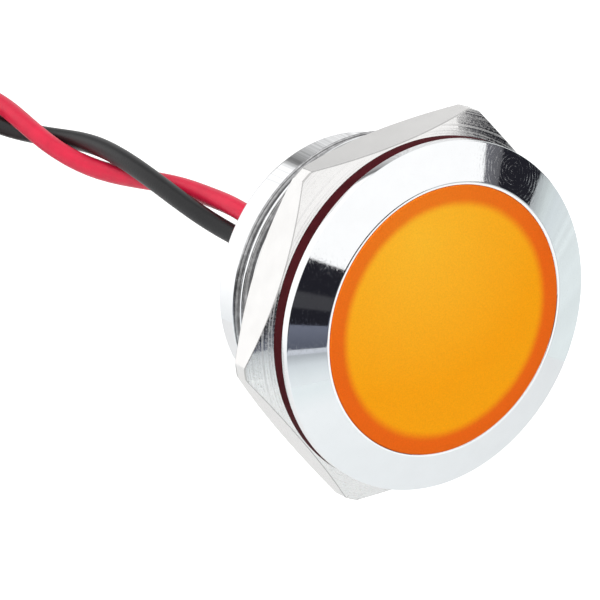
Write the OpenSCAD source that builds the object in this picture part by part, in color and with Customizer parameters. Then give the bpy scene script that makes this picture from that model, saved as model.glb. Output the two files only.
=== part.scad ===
// Panel pilot light with a threaded barrel, a hexagon nut and two flying leads.
// The barrel's axis runs along Y: the lens faces -Y and the leads leave towards +Y.
// The origin is on that axis, in the plane of the head's rear face.
// Modules draw along their own z, the depth behind that plane, and place() turns it onto Y.

/* [Head] */
// Diameter of the head
head_d = 25; // [24:0.5:27]
// Length of the head's straight rim
rim_l = 0.65; // [0.4:0.05:1]
// Depth of the polished cone in front of the rim
cone_l = 1; // [0.6:0.1:1.4]
// Diameter of the lens
lens_d = 19.2; // [18.4:0.1:19.4]
// Width of the narrow land around the lens
land_w = 0.25; // [0.15:0.05:0.4]

/* [Barrel] */
// Outside diameter of the thread
thread_d = 21.9; // [21.8:0.05:22]
// Distance between the thread's crests
thread_pitch = 1; // [0.75:0.25:1.5]
// Depth behind the head at which the thread ends
thread_end = 8.5; // [7.5:0.5:11]
// Diameter of the plain collar behind the thread
collar_d = 20; // [19.4:0.1:20.4]
// Length of that collar
collar_l = 2.7; // [2:0.1:4]
// Diameter of the bore
bore_d = 18.2; // [17.8:0.1:18.3]

/* [Nut and seal] */
// Width of the nut across its flats
nut_af = 25; // [24.5:0.5:27]
// Thickness of the nut
nut_l = 3.4; // [2.5:0.1:4]
// Diameter at which the nut's chamfers start
nut_face_d = 24.5; // [23.5:0.1:24.9]
// Diameter to which the nut's corners are turned
nut_corner_d = 28.3; // [27.5:0.1:28.8]
// Turn of the nut about its axis, in degrees
nut_turn = -8.8; // [-30:0.1:30]
// Thickness of the sealing ring
seal_l = 1; // [0.6:0.1:1.5]
// Outside diameter of the sealing ring
seal_d = 24.9; // [24:0.1:25]

/* [Inside] */
// Depth of the lens's skirt behind the head's rear face
skirt_l = 3; // [2.5:0.1:3.2]
// Wall of the skirt
skirt_w = 0.75; // [0.5:0.05:0.9]
// Thickness of the circuit board
board_t = 1; // [0.8:0.1:1.2]
// Diameter of the circle that the lamps stand on
led_circle_d = 10.4; // [10:0.2:11]
// Depth of the resin's rear face inside the end of the collar
resin_recess = 0.5; // [0.2:0.1:0.8]

/* [Leads] */
// Outside diameter of each lead
lead_d = 1.4; // [1.2:0.1:1.4]
// Diameter of the tinned strands
strand_d = 0.66; // [0.5:0.02:0.8]
// Length of the stripped tips
tip_l = 6; // [4:0.5:8]
// Distance of the pair's centre below the axis
pair_drop = 0.3; // [0:0.1:0.6]
// Distance between the middles of the two leads where they are twisted
pair_gap = 1.56; // [1.52:0.02:1.7]
// Radius of the coil, to the middle of the pair
coil_r = 6.8; // [6.4:0.1:7.4]
// Distance between the coil's turns
coil_pitch = 3.1; // [3:0.1:3.4]

/* [Hidden] */
$fn = 96;
gap = 0.05;

// Depths behind the head's rear face
front_z = -rim_l - cone_l;
rear_z = thread_end + collar_l;
undercut_l = seal_l + 0.2;
thread_depth = 0.61 * thread_pitch;
thread_root_r = thread_d / 2 - thread_depth;
thread_flat = thread_pitch / 8;
thread_flank = thread_depth * tan(30);
thread_chamfer = 0.4;
gasket_l = 0.25;
diffuser_l = 0.5;
cup_z = skirt_l + gap;
board_z = 5.5;
board_rear = board_z + board_t;
resin_rear = rear_z - resin_recess;

// Sizes of the parts on the board
led_size = [2.8, 3.5, 1.9];
led_window_d = 2.3;
led_count = 6;
resistor_d = 2.3;
resistor_l = 6.2;
resistor_leg = 0.6;
resistor_x = [3.6, 6.5];
bridge_size = [4, 4.8, 2.4];
bridge_x = -4.6;
bridge_leg = 0.7;
solder_d = 1.8;
solder_l = 0.6;
solder_top = 0.9;
insulation_z = board_rear + 0.8;

// Colours
chrome = [0.86, 0.87, 0.88];
nickel = [0.79, 0.77, 0.74];
amber = [0.98, 0.66, 0.16];
rubber = [0.27, 0.09, 0.11];
white = [0.94, 0.94, 0.92];
laminate = [0.13, 0.4, 0.24];
blue = [0.36, 0.56, 0.7];
black = [0.08, 0.08, 0.09];
red = [0.86, 0.1, 0.18];
tin = [0.76, 0.77, 0.78];

// Route of the pair: depth behind the head, and the angle of the red lead round the pair,
// counted from the right towards the top. It leaves the resin with red above black.
route = [
    [10.7, 90], [15, 84], [20, 72], [24, 56], [29, 14], [34, -34], [39, -88],
    [44, -148], [49, -212], [54, -274], [60, -340]
];
coil_y = 64.5;
coil_turns = 2;
tail_from = 70;
tail_to = 75;
tail_angle = -540;
tail_gap = 2.6;
ring_step = 2.8;
lead_sides = 8;
red_side = 1;
black_side = -1;
coil_wall_r = (pair_gap + lead_d) / 2 + 0.02;
coil_x = -coil_pitch * coil_turns;
tie_w = 2.4;
tie_t = 0.35;

// Turns depth along z into depth along Y
module place() rotate([-90, 0, 0]) children();

// A flat ring between two depths
module ring(outer, inner, from, to) {
    difference() {
        translate([0, 0, from]) cylinder(d = outer, h = to - from);
        translate([0, 0, from - 1]) cylinder(d = inner, h = to - from + 2);
    }
}

// Middle of a lead at one depth, with the angle of the red lead there
function lead_point(y, angle, side) =
    [side * pair_gap / 2 * cos(angle), y, -pair_drop + side * pair_gap / 2 * sin(angle)];

// Middle of a lead behind the coil, where the two spread apart
function tail_point(y, side) =
    let (spread = lookup(y, [[tail_from, pair_gap], [tail_to, tail_gap]]) / 2)
    [coil_x + side * spread * cos(tail_angle), y, -pair_drop];

// Depths of the rings along a straight stretch
function depths(from, to) = [for (i = [0 : ceil((to - from) / ring_step)])
    from + i * (to - from) / ceil((to - from) / ring_step)];

// Direction of a line of points at one of them
function along(points, i) =
    let (d = points[min(i + 1, len(points) - 1)] - points[max(i - 1, 0)]) d / norm(d);

// A tube of flat sides round a line of points that runs towards +Y
module tube(points, d) {
    sides = lead_sides;
    last = len(points) - 1;
    rings = [for (i = [0 : last])
        let (t = along(points, i), up = cross([1, 0, 0], t) / norm(cross([1, 0, 0], t)), out = cross(t, up))
        for (k = [0 : sides - 1])
            points[i] + d / 2 * (cos(360 * k / sides) * up + sin(360 * k / sides) * out)];
    walls = [for (i = [0 : last - 1], k = [0 : sides - 1])
        [for (at = [[0, 0], [0, 1], [1, 1], [1, 0]]) (i + at[0]) * sides + (k + at[1]) % sides]];
    start = [[for (k = [0 : sides - 1]) sides - 1 - k]];
    end = [[for (k = [0 : sides - 1]) last * sides + k]];
    polyhedron(points = rings, faces = concat(start, walls, end), convexity = 4);
}

// Section of the thread's crests: a crest is half cut away by the chamfer at its end
thread_count = floor((thread_end - undercut_l - thread_flank) / thread_pitch);
function crest(z) = [
    [thread_root_r, z - thread_flat / 2 - thread_flank], [thread_d / 2, z - thread_flat / 2],
    [thread_d / 2, z + thread_flat / 2], [thread_root_r, z + thread_flat / 2 + thread_flank]
];
thread_section = concat(
    [for (k = [thread_count : -1 : 1]) each crest(thread_end - k * thread_pitch)],
    [[thread_root_r, thread_end - thread_flat / 2 - thread_flank],
        [thread_d / 2 - thread_chamfer * 0.6, thread_end - thread_chamfer * 0.4],
        [thread_d / 2 - thread_chamfer, thread_end]]
);

// Head, threaded barrel and collar, turned from one bar. The thread is drawn as rings.
module housing() {
    r = head_d / 2;
    color(chrome) place() rotate_extrude() polygon(concat(
        [[lens_d / 2 + 0.02, front_z], [lens_d / 2 + land_w, front_z], [r, -rim_l], [r, 0]],
        [[thread_root_r, 0]],
        thread_section,
        [[collar_d / 2, thread_end], [collar_d / 2, rear_z - 0.2], [collar_d / 2 - 0.2, rear_z]],
        [[bore_d / 2, rear_z], [bore_d / 2, 0], [lens_d / 2 + 0.02, 0]]
    ));
}

// Coloured cap: a flat front with a skirt that reaches into the bore
module lens() {
    skirt_r = bore_d / 2 - gap;
    color(amber) place() rotate_extrude() polygon([
        [0, front_z - gap], [lens_d / 2 - 0.15, front_z - gap], [lens_d / 2, front_z + 0.1],
        [lens_d / 2, -gasket_l], [skirt_r, -gasket_l], [skirt_r, skirt_l],
        [skirt_r - skirt_w, skirt_l], [skirt_r - skirt_w, 0], [0, 0]
    ]);
}

module lens_gasket() {
    color(black) place() ring(lens_d - 0.04, bore_d, -gasket_l, 0);
}

module diffuser() {
    color(white) place() cylinder(d = bore_d - 2 * (gap + skirt_w) - 0.1, h = diffuser_l);
}

// White cup that throws the light forwards
module reflector_cup() {
    r = bore_d / 2 - gap;
    color(white) place() rotate_extrude() polygon([
        [r - 0.75, cup_z], [r, cup_z], [r, board_z], [r - 1.7, board_z]
    ]);
}

// Board with a hole for each conductor
module circuit_board() {
    color(laminate) place() difference() {
        translate([0, 0, board_z]) cylinder(d = bore_d - 2 * gap, h = board_t);
        for (side = [red_side, black_side])
            lead_axis(side) translate([0, 0, board_z - 1]) cylinder(d = strand_d + 0.1, h = board_t + 2);
    }
}

// Moves to a lead's middle where it goes into the lamp
module lead_axis(side) translate([0, pair_drop - side * pair_gap / 2, 0]) children();

// One lamp of the ring: a white body with a raised window
module led(i) {
    color("gold") place() rotate([0, 0, i * 360 / led_count]) translate([led_circle_d / 2, 0, 0]) {
        translate([-led_size.x / 2, -led_size.y / 2, board_z - led_size.z + 0.2])
            cube([led_size.x, led_size.y, led_size.z - 0.2]);
        translate([0, 0, board_z - led_size.z]) cylinder(d = led_window_d, h = 0.4);
    }
}

module led_1() led(0);
module led_2() led(1);
module led_3() led(2);
module led_4() led(3);
module led_5() led(4);
module led_6() led(5);

// A resistor that lies on the board, with its bent legs
module resistor(x) {
    z = board_rear + resistor_d / 2;
    leg_y = resistor_l / 2 + 0.6;
    color(blue) place() translate([x, 0, 0]) {
        translate([0, resistor_l / 2, z]) rotate([90, 0, 0]) cylinder(d = resistor_d - 0.2, h = resistor_l);
        for (end = [-1, 1]) {
            translate([0, end * (resistor_l / 2 - 0.8) + 0.8, z]) rotate([90, 0, 0])
                cylinder(d = resistor_d, h = 1.6);
            translate([0, end * leg_y, board_rear]) cylinder(d = resistor_leg, h = resistor_d / 2);
            translate([0, end * leg_y, z]) sphere(d = resistor_leg);
            translate([0, end > 0 ? leg_y : -resistor_l / 2, z]) rotate([90, 0, 0])
                cylinder(d = resistor_leg, h = leg_y - resistor_l / 2);
        }
    }
}

module resistor_1() resistor(resistor_x[0]);
module resistor_2() resistor(resistor_x[1]);

// Rectifier block with four flat legs
module bridge_rectifier() {
    color(black) place() translate([bridge_x, 0, board_rear]) {
        translate([-bridge_size.x / 2, -bridge_size.y / 2, 0.3])
            cube([bridge_size.x, bridge_size.y, bridge_size.z - 0.3]);
        for (x = [-1, 1], y = [-1, 1])
            translate([x * 1.25 - bridge_leg / 2, y * (bridge_size.y / 2 + 0.2) - 0.4, 0])
                cube([bridge_leg, 0.8, 0.9]);
    }
}

// Cone of solder round a conductor, on the front of the board
module solder(side) {
    color(tin) place() lead_axis(side) rotate_extrude() polygon([
        [strand_d / 2, board_z - solder_l], [solder_top / 2, board_z - solder_l],
        [solder_d / 2, board_z], [strand_d / 2, board_z]
    ]);
}

module red_solder() solder(red_side);
module black_solder() solder(black_side);

// Inner end of a lead: bare strands through the board, then the insulation up to the resin's face
module lead_root(side, tint) {
    color(tint) place() lead_axis(side) {
        translate([0, 0, board_z - solder_l]) cylinder(d = strand_d, h = insulation_z - board_z + solder_l);
        translate([0, 0, insulation_z]) cylinder(d = lead_d, h = resin_rear - insulation_z);
    }
}

module red_lead_root() lead_root(red_side, red);
module black_lead_root() lead_root(black_side, black);

// Black resin that fills the barrel behind the board, round everything that stands on it
module potting_resin() {
    color(black) difference() {
        place() translate([0, 0, board_rear]) cylinder(d = bore_d, h = resin_rear - board_rear);
        resistor_1();
        resistor_2();
        bridge_rectifier();
        red_lead_root();
        black_lead_root();
    }
}

// Rubber ring with rounded edges, between the head and the nut
module sealing_ring() {
    inner = thread_d / 2 + gap;
    outer = seal_d / 2;
    edge = 0.3;
    color(rubber) place() rotate_extrude() polygon(concat(
        [[inner, 0]],
        [for (a = [-90 : 15 : 0]) [outer - edge + edge * cos(a), edge + edge * sin(a)]],
        [for (a = [0 : 15 : 90]) [outer - edge + edge * cos(a), seal_l - edge + edge * sin(a)]],
        [[inner, seal_l]]
    ));
}

// Hexagon nut with turned corners and both faces chamfered at 30 degrees
module hex_nut() {
    corner_r = nut_corner_d / 2;
    drop = (corner_r - nut_face_d / 2) * tan(30);
    color(nickel) place() translate([0, 0, seal_l]) difference() {
        intersection() {
            rotate([0, 0, nut_turn]) cylinder(d = nut_af / cos(30), h = nut_l, $fn = 6);
            rotate_extrude() polygon([
                [0, 0], [nut_face_d / 2, 0], [corner_r, drop],
                [corner_r, nut_l - drop], [nut_face_d / 2, nut_l], [0, nut_l]
            ]);
        }
        translate([0, 0, -1]) cylinder(d = thread_d + 2 * gap, h = nut_l + 2);
        for (end = [0, 1])
            translate([0, 0, end * nut_l]) mirror([0, 0, end])
                translate([0, 0, -gap]) cylinder(d1 = thread_d + 0.9, d2 = thread_d, h = 0.45);
    }
}

// The lead from the resin to the coil, and its tail behind the coil
module lead(side, tint) {
    color(tint) {
        tube([for (y = depths(route[0][0], route[len(route) - 1][0]))
            lead_point(y, lookup(y, route), side)], lead_d);
        tube([for (y = depths(tail_from, tail_to)) tail_point(y, side)], lead_d);
    }
}

module red_lead() lead(red_side, red);
module black_lead() lead(black_side, black);

// Turns of the pair about an axis along X, as one ring of their outer shape
module coil_shape(extra = 0) {
    w = coil_wall_r + extra;
    translate([0, coil_y, -pair_drop - coil_r]) rotate([0, 90, 0]) rotate_extrude() polygon([
        [coil_r - w, coil_x - w], [coil_r + w, coil_x - w], [coil_r + w, w], [coil_r - w, w]
    ]);
}

module lead_coil() {
    color(red) coil_shape();
}

// Band round the turns at the bottom of the coil
module lead_tie() {
    color(white) difference() {
        intersection() {
            coil_shape(tie_t);
            translate([2 * coil_x, coil_y - tie_w / 2, -pair_drop - 3 * coil_r])
                cube([4 * coil_r, tie_w, 2 * coil_r]);
        }
        coil_shape();
    }
}

// Bare tinned end of a lead
module lead_tip(side) {
    color(tin) translate(tail_point(tail_to, side)) rotate([-90, 0, 0]) cylinder(d = strand_d, h = tip_l);
}

module red_lead_tip() lead_tip(red_side);
module black_lead_tip() lead_tip(black_side);

housing();
lens();
lens_gasket();
diffuser();
reflector_cup();
circuit_board();
led_1();
led_2();
led_3();
led_4();
led_5();
led_6();
resistor_1();
resistor_2();
bridge_rectifier();
red_solder();
black_solder();
potting_resin();
red_lead_root();
black_lead_root();
sealing_ring();
hex_nut();
red_lead();
black_lead();
lead_coil();
lead_tie();
red_lead_tip();
black_lead_tip();
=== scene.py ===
"""Panel pilot light: a plated head with an amber lens on a threaded barrel, with nut, seal and leads.

The barrel runs along Y with the lens towards -Y. Each sub-assembly is a class that holds its sizes
in millimetres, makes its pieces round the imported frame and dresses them.
"""

import logging
import math
from collections.abc import Callable, Iterator, Sequence
from contextlib import contextmanager
from dataclasses import dataclass, field
from enum import Enum

import bpy
from mathutils import Matrix, Vector


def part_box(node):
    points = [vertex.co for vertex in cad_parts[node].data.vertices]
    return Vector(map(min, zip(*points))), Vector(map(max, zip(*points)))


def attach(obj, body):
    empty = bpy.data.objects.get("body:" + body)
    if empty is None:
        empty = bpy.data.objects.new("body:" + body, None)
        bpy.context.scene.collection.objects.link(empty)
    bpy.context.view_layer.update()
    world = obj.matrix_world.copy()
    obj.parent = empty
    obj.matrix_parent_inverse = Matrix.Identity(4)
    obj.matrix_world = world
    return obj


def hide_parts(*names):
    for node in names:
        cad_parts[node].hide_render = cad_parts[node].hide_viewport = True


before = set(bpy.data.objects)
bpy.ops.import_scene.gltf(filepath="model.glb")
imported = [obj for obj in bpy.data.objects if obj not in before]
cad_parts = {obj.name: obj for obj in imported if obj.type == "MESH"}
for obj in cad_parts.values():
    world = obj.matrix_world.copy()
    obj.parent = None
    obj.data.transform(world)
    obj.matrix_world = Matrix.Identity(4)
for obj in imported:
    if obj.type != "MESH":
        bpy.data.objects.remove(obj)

LOG = logging.getLogger("pilot_light")
MM = 0.001
FULL_TURN = 2 * math.pi
SEAL_OVERHANG = 1.5
Piece = bpy.types.Object
Material = bpy.types.Material
Socket = bpy.types.NodeSocket
Colour = tuple[float, float, float]
Stops = tuple[tuple[float, Colour], ...]
Profile = Sequence[tuple[float, float]]


class Body(Enum):
    """The bodies of the frame that pieces ride on."""

    LAMP = "lamp"
    SEAL = "seal"
    NUT = "nut"


class Grain(Enum):
    """How a cut or drawn metal face is marked."""

    TURNED = "turned"
    DRAWN = "drawn"


# The bench: hand tools that the sub-assemblies share


def put_down() -> None:
    """Leaves edit mode and deselects everything."""
    if bpy.context.object and bpy.context.object.mode != "OBJECT":
        bpy.ops.object.mode_set(mode="OBJECT")
    bpy.ops.object.select_all(action="DESELECT")


def pick(obj: Piece) -> None:
    """Makes one piece the only selected and active one.

    Args:
        obj: the piece.
    """
    put_down()
    obj.select_set(True)
    bpy.context.view_layer.objects.active = obj


def settle(obj: Piece) -> None:
    """Puts a piece's place, turn and size into its mesh."""
    pick(obj)
    bpy.ops.object.transform_apply(location=True, rotation=True, scale=True)


@contextmanager
def editing(obj: Piece, kind: str = "VERT",
            wanted: Callable[[object], bool] | None = None) -> Iterator[None]:
    """Opens a piece in edit mode with some of it selected, and closes it again.

    Args:
        obj: the piece.
        kind: VERT, EDGE or FACE, which is what the tools act on.
        wanted: says of an edge or a face whether it is selected; without it everything is.
    """
    pick(obj)
    bpy.ops.object.mode_set(mode="EDIT")
    bpy.ops.mesh.select_mode(type=kind)
    bpy.ops.mesh.select_all(action="DESELECT" if wanted else "SELECT")
    if wanted:
        bpy.ops.object.mode_set(mode="OBJECT")
        for element in obj.data.edges if kind == "EDGE" else obj.data.polygons:
            element.select = wanted(element)
        bpy.ops.object.mode_set(mode="EDIT")
    yield
    bpy.ops.object.mode_set(mode="OBJECT")


def apply_modifier(obj: Piece, kind: str, **settings: object) -> None:
    """Adds a modifier, sets it and applies it.

    Args:
        obj: the piece.
        kind: the modifier's type.
        **settings: its properties.
    """
    pick(obj)
    bpy.ops.object.modifier_add(type=kind)
    modifier = obj.modifiers[-1]
    for key, value in settings.items():
        setattr(modifier, key, value)
    bpy.ops.object.modifier_apply(modifier=modifier.name)


def break_edges(obj: Piece, width: float, segments: int = 2, angle: float = 25) -> None:
    """Rounds every edge that is sharper than an angle.

    Args:
        obj: the piece.
        width: how far the round reaches from the edge, in millimetres.
        segments: faces across the round.
        angle: the least angle between two faces that counts as an edge, in degrees.
    """
    apply_modifier(obj, "BEVEL", width=width * MM, segments=segments, limit_method="ANGLE",
                   angle_limit=math.radians(angle), use_clamp_overlap=True)


def smooth(obj: Piece, angle: float = 35) -> None:
    """Shades a piece smoothly across all but its sharp edges, with flat faces kept flat.

    Args:
        obj: the piece.
        angle: edges over this angle stay sharp, in degrees.
    """
    pick(obj)
    bpy.ops.object.shade_smooth_by_angle(angle=math.radians(angle))
    apply_modifier(obj, "WEIGHTED_NORMAL", keep_sharp=True, weight=80)


def clean(obj: Piece) -> None:
    """Merges doubled points and turns every face outwards."""
    with editing(obj):
        bpy.ops.mesh.remove_doubles(threshold=1e-6)
        bpy.ops.mesh.normals_make_consistent(inside=False)


def line_of_edges(name: str, points: Profile, closed: bool) -> Piece:
    """Draws a section in the plane of X and Y by extruding one point along it.

    Args:
        name: the new piece's name.
        points: (radius, y) of each corner, in millimetres.
        closed: whether the last point joins the first.

    Returns:
        The piece, in edit mode with everything selected.
    """
    put_down()
    bpy.ops.mesh.primitive_plane_add(size=MM)
    obj = bpy.context.object
    obj.name = name
    bpy.ops.object.mode_set(mode="EDIT")
    bpy.ops.mesh.select_mode(type="VERT")
    bpy.ops.mesh.merge(type="CENTER")
    path = [*points, points[0]] if closed else list(points)
    bpy.ops.transform.translate(value=(path[0][0] * MM, path[0][1] * MM, 0))
    for (r0, y0), (r1, y1) in zip(path, path[1:]):
        bpy.ops.mesh.extrude_region_move(
            TRANSFORM_OT_translate={"value": ((r1 - r0) * MM, (y1 - y0) * MM, 0)})
    bpy.ops.mesh.select_all(action="SELECT")
    bpy.ops.mesh.remove_doubles(threshold=1e-7)
    return obj


def turn(name: str, points: Profile, closed: bool = True, steps: int = 224) -> Piece:
    """Turns a section about the barrel's axis, as on a lathe.

    Args:
        name: the new piece's name.
        points: (radius, y) of each corner, in millimetres.
        closed: whether the section is a closed loop; an open one ends on the axis.
        steps: faces round the turn.

    Returns:
        The turned piece.
    """
    obj = line_of_edges(name, points, closed)
    bpy.ops.mesh.spin(steps=steps, angle=FULL_TURN, center=(0, 0, 0), axis=(0, 1, 0))
    bpy.ops.object.mode_set(mode="OBJECT")
    clean(obj)
    return obj


def cut_to(obj: Piece, section: Profile) -> None:
    """Cuts a piece down to a turned shape.

    Args:
        obj: the piece.
        section: (radius, y) of the shape's corners, in millimetres.
    """
    blank = turn(f"{obj.name}_blank", section, steps=240)
    apply_modifier(obj, "BOOLEAN", operation="INTERSECT", solver="EXACT", object=blank)
    bpy.data.objects.remove(blank)
    clean(obj)


def round_corners(obj: Piece, width: float, segments: int = 6) -> None:
    """Rounds the edges of a block that run along Y.

    Args:
        obj: the piece, a block.
        width: the radius of the round, in millimetres.
        segments: faces across the round.
    """
    def runs_along_y(edge: bpy.types.MeshEdge) -> bool:
        """Returns whether an edge runs along Y."""
        a, b = (obj.data.vertices[i].co for i in edge.vertices)
        return abs((b - a).normalized().y) > 0.99

    with editing(obj, "EDGE", runs_along_y):
        bpy.ops.mesh.bevel(offset=width * MM, segments=segments)


def span(node: str) -> tuple[float, float, float]:
    """Returns a round solid's radius, front and rear, in millimetres."""
    low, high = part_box(node)
    return high.x / MM, low.y / MM, high.y / MM


def thread_crest() -> float:
    """Returns the radius of the barrel's thread, which the sealing ring overhangs, in millimetres."""
    return span("sealing_ring")[0] - SEAL_OVERHANG


def quarter(steps: int) -> list[float]:
    """Returns the angles of a quarter turn in even steps, in radians."""
    return [math.radians(90 * k / steps) for k in range(steps + 1)]


def shares(steps: float) -> list[float]:
    """Returns even shares from 0 up to 1, but not 1 itself, in a whole number of steps."""
    count = round(steps)
    return [i / count for i in range(count)]


def part_way(first: float, last: float, share: float) -> float:
    """Returns the value at a share of the way from the first to the last."""
    return first + (last - first) * share


def eased(share: float) -> float:
    """Returns a share from 0 to 1 with a soft start and end."""
    return share * share * (3 - 2 * share)


def dress(obj: Piece, finish: Material) -> None:
    """Gives a piece its finish in place of any that it has."""
    obj.data.materials.clear()
    obj.data.materials.append(finish)


def fit(obj: Piece, finish: Material, body: Body, slot: str, *nodes: str) -> None:
    """Dresses a finished piece, fits it to the frame in place of solids, and reports it.

    Args:
        obj: the piece.
        finish: its material.
        body: the body that it moves with.
        slot: not used.
        *nodes: the solids that it stands for.
    """
    dress(obj, finish)
    if nodes:
        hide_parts(*nodes)
    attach(obj, body.value)
    LOG.info("%s rides on %s", obj.name, body.value)


# Finishes


class Recipe:
    """A material's nodes, added and joined by name."""

    def __init__(self, name: str) -> None:
        """Starts an empty material.

        Args:
            name: the material's name.
        """
        self.material = bpy.data.materials.new(name)
        self.material.use_nodes = True
        self.tree = self.material.node_tree
        self.tree.nodes.clear()
        self.output = self.tree.nodes.new("ShaderNodeOutputMaterial")

    def node(self, kind: str, inputs: dict[str | int, object] | None = None,
             **settings: object) -> bpy.types.Node:
        """Adds a node.

        Args:
            kind: the node's type, without its ShaderNode prefix.
            inputs: a value or another node's output for each input.
            **settings: the node's properties.

        Returns:
            The node.
        """
        made = self.tree.nodes.new("ShaderNode" + kind)
        for key, value in settings.items():
            setattr(made, key, value)
        for key, value in (inputs or {}).items():
            if isinstance(value, Socket):
                self.tree.links.new(value, made.inputs[key])
            else:
                made.inputs[key].default_value = value
        return made

    def math(self, operation: str, *values: object) -> Socket:
        """Returns the result of a sum of one Math node, given its inputs in order."""
        return self.node("Math", dict(enumerate(values)), operation=operation).outputs[0]

    def times(self, first: Socket, *others: object) -> Socket:
        """Returns the product of all that is given."""
        for other in others:
            first = self.math("MULTIPLY", first, other)
        return first

    def place(self) -> Socket:
        """Returns the place on the object, in metres."""
        return self.node("TexCoord").outputs["Object"]

    def parts(self, vector: Socket) -> tuple[Socket, ...]:
        """Returns a vector's three parts."""
        return tuple(self.node("SeparateXYZ", {0: vector}).outputs)

    def length(self, vector: Socket) -> Socket:
        """Returns a vector's length."""
        return self.node("VectorMath", {0: vector}, operation="LENGTH").outputs["Value"]

    def radius(self) -> Socket:
        """Returns the distance from the barrel's axis, in metres."""
        x, _, z = self.parts(self.place())
        return self.math("SQRT", self.math("ADD", self.times(x, x), self.times(z, z)))

    def noise(self, size: float, vector: Socket | None = None, detail: float = 3,
              roughness: float = 0.55) -> Socket:
        """Adds a cloudy pattern.

        Args:
            size: the width of one cloud, in millimetres.
            vector: where it is read, or the place on the object.
            detail: how many finer layers it has.
            roughness: how strong those are.

        Returns:
            Its value, about 0.5 on average.
        """
        return self.node("TexNoise", {"Vector": vector or self.place(), "Scale": 1 / (size * MM),
                                      "Detail": detail, "Roughness": roughness}).outputs["Fac"]

    def stretched(self, scale: Colour) -> Socket:
        """Returns the place on the object, stretched along each axis by a share."""
        return self.node("Mapping", {"Vector": self.place(), "Scale": scale}).outputs[0]

    def stripes(self, along: Socket, scale: float, detail: float, roughness: float) -> Socket:
        """Adds uneven stripes.

        Args:
            along: what they are laid along.
            scale: how many there are to a unit of it.
            detail: how many finer layers they have.
            roughness: how strong those are.

        Returns:
            Their height, about 0.5 on average.
        """
        return self.node("TexNoise", {"W": self.times(along, scale), "Scale": 1.0,
                                      "Detail": detail, "Roughness": roughness},
                         noise_dimensions="1D").outputs["Fac"]

    def rings(self, pitch: float) -> Socket:
        """Adds the uneven rings that a lathe tool leaves.

        Args:
            pitch: their usual distance, in millimetres.

        Returns:
            Their height, about 0.5 on average.
        """
        _, y, _ = self.parts(self.place())
        return self.stripes(self.math("ADD", self.radius(), y), 1 / (pitch * MM), 2.0, 0.6)

    def whorls(self, centre: Colour, pitch: float) -> Socket:
        """Adds the broken arcs that a polishing wheel leaves round one spot.

        Args:
            centre: the spot, in millimetres.
            pitch: the arcs' distance, in millimetres.

        Returns:
            How much of an arc there is, from 0 to 1.
        """
        moved = self.node("VectorMath", {0: self.place(), 1: tuple(c * MM for c in centre)},
                          operation="SUBTRACT").outputs[0]
        arcs = self.node("TexWave", {"Vector": moved, "Scale": FULL_TURN / (20 * pitch * MM),
                                     "Distortion": 4.0, "Detail": 3.0, "Detail Scale": 0.6},
                         wave_type="RINGS", rings_direction="SPHERICAL").outputs["Fac"]
        lines = self.between(arcs, 0.4, 1.0, 0, 1)
        broken = self.swing(self.noise(0.4, detail=4), 0.15, 0, 1)
        fading = self.between(self.length(moved), 2 * MM, 5 * MM, 1, 0.12)
        return self.times(lines, broken, fading)

    def ramp(self, value: Socket, stops: Stops) -> Socket:
        """Adds a run of colours.

        Args:
            value: where on the run each point is.
            stops: the place and colour of each stop, in order.

        Returns:
            The colour.
        """
        made = self.node("ValToRGB", {"Fac": value})
        elements = made.color_ramp.elements
        while len(elements) < len(stops):
            elements.new(0.5)
        for element, (at, colour) in zip(elements, stops):
            element.position = at
            element.color = (*colour, 1)
        return made.outputs["Color"]

    def between(self, value: Socket, low: float, high: float, first: float, last: float,
                **settings: object) -> Socket:
        """Returns a value moved from one range to another, and held inside it."""
        return self.node("MapRange", {"Value": value, "From Min": low, "From Max": high,
                                      "To Min": first, "To Max": last}, **settings).outputs[0]

    def swing(self, pattern: Socket, spread: float, first: float, last: float) -> Socket:
        """Returns a pattern moved from 0.5, give or take a spread, to a range, and held inside it."""
        return self.between(pattern, 0.5 - spread, 0.5 + spread, first, last)

    def mix(self, share: Socket, first: Socket | Colour, last: Socket | Colour) -> Socket:
        """Returns the colour at a share of the way from the first to the last."""
        a, b = (end if isinstance(end, Socket) else (*end, 1) for end in (first, last))
        return self.node("Mix", {"Factor": share, "A": a, "B": b}, data_type="RGBA").outputs["Result"]

    def scaled(self, colour: Socket | Colour, share: Socket) -> Socket:
        """Returns a colour made lighter or darker by a share."""
        return self.node("VectorMath", {0: colour, "Scale": share}, operation="SCALE").outputs[0]

    def bump(self, height: Socket, depth: float, strength: float = 1) -> Socket:
        """Adds a relief.

        Args:
            height: its height, from 0 to 1.
            depth: what a height of 1 is, in millimetres.
            strength: how much of it shows.

        Returns:
            The surface's direction.
        """
        return self.node("Bump", {"Height": height, "Distance": depth * MM,
                                  "Strength": strength}).outputs[0]

    def surface(self, inputs: dict[str | int, object]) -> Material:
        """Ends the recipe with its surface.

        Args:
            inputs: a value or an output for each input of the surface shader.

        Returns:
            The material.
        """
        shader = self.node("BsdfPrincipled", inputs)
        self.tree.links.new(shader.outputs[0], self.output.inputs["Surface"])
        return self.material


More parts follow.
